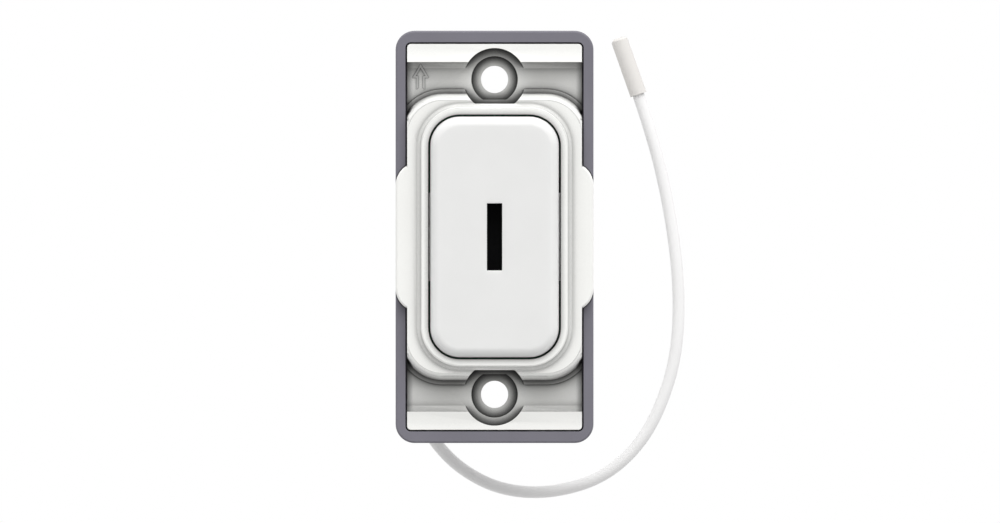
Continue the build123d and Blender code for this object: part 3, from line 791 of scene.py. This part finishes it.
@dataclass
class Aerial:
    """Aerial wire with a sleeve on its end, lying on the floor.

    Attributes:
        diameter: outer diameter of the wire in millimetres.
        length: its length in millimetres, as in the CAD tube; not used.
        exit: where it leaves the skirt; not used.
        route: control points of its line.
        order: order of the spline.
        steps: steps of the line between control points.
        roundness: steps in each quarter of the wire's section.
        sleeve_crease: angle above which the sleeve's edges stay sharp, in degrees.
    """

    diameter: float = 1.45
    length: float = 89.25
    exit: Point = (-8.5, -16.4, 2.175)
    route: tuple[Point, ...] = (
        (-8.5, -12.9, 2.175),
        (-8.5, -18.2, 2.175),
        (-8.5, -22.1, 1.55),
        (-7.55, -24.6, 1.15),
        (-4.17, -28.2, 0.775),
        (0.88, -30.77, 0.775),
        (7.03, -31.1, 0.775),
        (13.49, -29.12, 0.775),
        (18.29, -24.49, 0.775),
        (21.17, -18.01, 0.775),
        (22.35, -11.96, 0.775),
        (22.28, -3.99, 0.775),
        (20.92, 5.08, 0.775),
        (18.79, 13.5, 1.075),
        (15.966, 21.515, 1.075),
    )
    order: int = 3
    steps: int = 16
    roundness: int = 6
    sleeve_crease: float = 60.0

    def build(self) -> None:
        sleeve = smooth_copy("antenna_sleeve", SLEEVE, Body.MODULE, self.sleeve_crease)
        wire = self.build_wire()

    def build_wire(self) -> bpy.types.Object:
        """Lays the wire along a smooth spline that its control points lead.

        Returns:
            The wire's curve.
        """
        curve = bpy.data.curves.new("aerial_wire", "CURVE")
        curve.dimensions = "3D"
        curve.bevel_depth = self.diameter / 2 * MM
        curve.bevel_resolution = self.roundness
        curve.resolution_u = self.steps
        curve.use_fill_caps = True
        line = curve.splines.new("NURBS")
        line.points.add(len(self.route) - 1)
        for point, place in zip(line.points, self.route):
            point.co = (*[c * MM for c in place], 1.0)
        line.order_u = self.order
        line.use_endpoint_u = True
        line.use_smooth = True
        wire = bpy.data.objects.new("aerial_wire", curve)
        bpy.context.scene.collection.objects.link(wire)
        dress(wire, JACKET)
        return attach(wire, Body.MODULE, "wire_jacket", "antenna_wire")


@dataclass
class Studio:
    """White floor, a soft sky that is brighter towards the upper end, and the camera straight in front.

    Attributes:
        camera_height: height of the camera in metres.
        camera_reach: how far the camera sees in metres.
        floor_half: half the width of the floor in metres.
        floor_drop: how far the floor lies below the module in millimetres.
        sky_base: light that comes evenly from all round.
        sky_gain: light added in the middle of the bright side.
        sky_focus: how tightly the bright side is gathered.
        sky_from: direction of the bright side.
        sky_colour: colour of the sky's light.
    """

    camera_height: float = 0.5
    camera_reach: float = 10.0
    floor_half: float = 2.0
    floor_drop: float = 0.02
    sky_base: float = 0.55
    sky_gain: float = 4.5
    sky_focus: float = 8.0
    sky_from: Point = (0.12, 0.8, 0.59)
    sky_colour: Colour = (1.0, 1.0, 0.99)

    def build(self) -> None:
        """Sets up the floor, the light and the camera."""
        bpy.context.scene.view_settings.view_transform = "Standard"
        self.build_floor()
        self.build_sky()
        self.build_camera()

    def build_floor(self) -> None:
        """Lays a floor that glows evenly white and isn't searched for as a lamp."""
        bpy.ops.object.select_all(action="DESELECT")
        drop = -self.floor_drop * MM
        bpy.ops.mesh.primitive_plane_add(size=2 * self.floor_half, location=(0, 0, drop))
        floor = bpy.context.object
        floor.name = "studio_floor"
        graph = MaterialGraph("studio_floor")
        graph.set(Base_Color=(0, 0, 0, 1), Specular_IOR_Level=0.0)
        graph.set(Emission_Color=(1, 1, 1, 1), Emission_Strength=1.0)
        graph.material.cycles.emission_sampling = "NONE"
        floor.data.materials.append(graph.material)

    def build_sky(self) -> None:
        """Makes the soft sky, which the camera sees as a plain white backdrop."""
        world = bpy.data.worlds.new("studio_sky")
        world.use_nodes = True
        bpy.context.scene.world = world
        graph = NodeGraph(world.node_tree)
        facing = graph.add("VectorMath", operation="DOT_PRODUCT")
        facing.inputs[1].default_value = Vector(self.sky_from).normalized()
        graph.join(graph.add("TexCoord").outputs["Generated"], facing.inputs[0])
        lit = graph.reckon("MAXIMUM", facing.outputs["Value"], 0.0)
        gathered = graph.reckon("POWER", lit, self.sky_focus)
        strength = graph.reckon("MULTIPLY_ADD", gathered, self.sky_gain, self.sky_base)
        sky = graph.tree.nodes["Background"]
        sky.inputs["Color"].default_value = (*self.sky_colour, 1.0)
        graph.join(strength, sky.inputs["Strength"])
        backdrop = graph.add("Background", Color=(1.0, 1.0, 1.0, 1.0))
        choice = graph.add("MixShader")
        graph.join(graph.add("LightPath").outputs["Is Camera Ray"], choice.inputs[0])
        graph.join(sky.outputs["Background"], choice.inputs[1])
        graph.join(backdrop.outputs["Background"], choice.inputs[2])
        graph.join(choice.outputs["Shader"], graph.tree.nodes["World Output"].inputs["Surface"])

    def build_camera(self) -> None:
        """Places a parallel camera that sees what the photograph sees."""
        data = bpy.data.cameras.new("front_camera")
        data.type = "ORTHO"
        data.ortho_scale = PHOTO_WIDTH / PHOTO_SCALE * MM
        data.clip_end = self.camera_reach
        camera = bpy.data.objects.new("front_camera", data)
        aim_x = (PHOTO_CENTRE[0] - MODULE_CENTRE[0]) / PHOTO_SCALE
        aim_y = (MODULE_CENTRE[1] - PHOTO_CENTRE[1]) / PHOTO_SCALE
        camera.location = (aim_x * MM, aim_y * MM, self.camera_height)
        bpy.context.scene.collection.objects.link(camera)
        bpy.context.scene.camera = camera


def main() -> None:
    """Builds the studio and every sub-assembly."""
    logging.basicConfig(level=logging.INFO, format="%(name)s: %(message)s")
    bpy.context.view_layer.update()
    Studio().build()
    Aerial().build()
    for assembly in (FrontMoulding(), Surround(), KeyRocker(), Generator(), RadioBoard()):
        assembly.build()


if __name__ == "__main__":
    main()
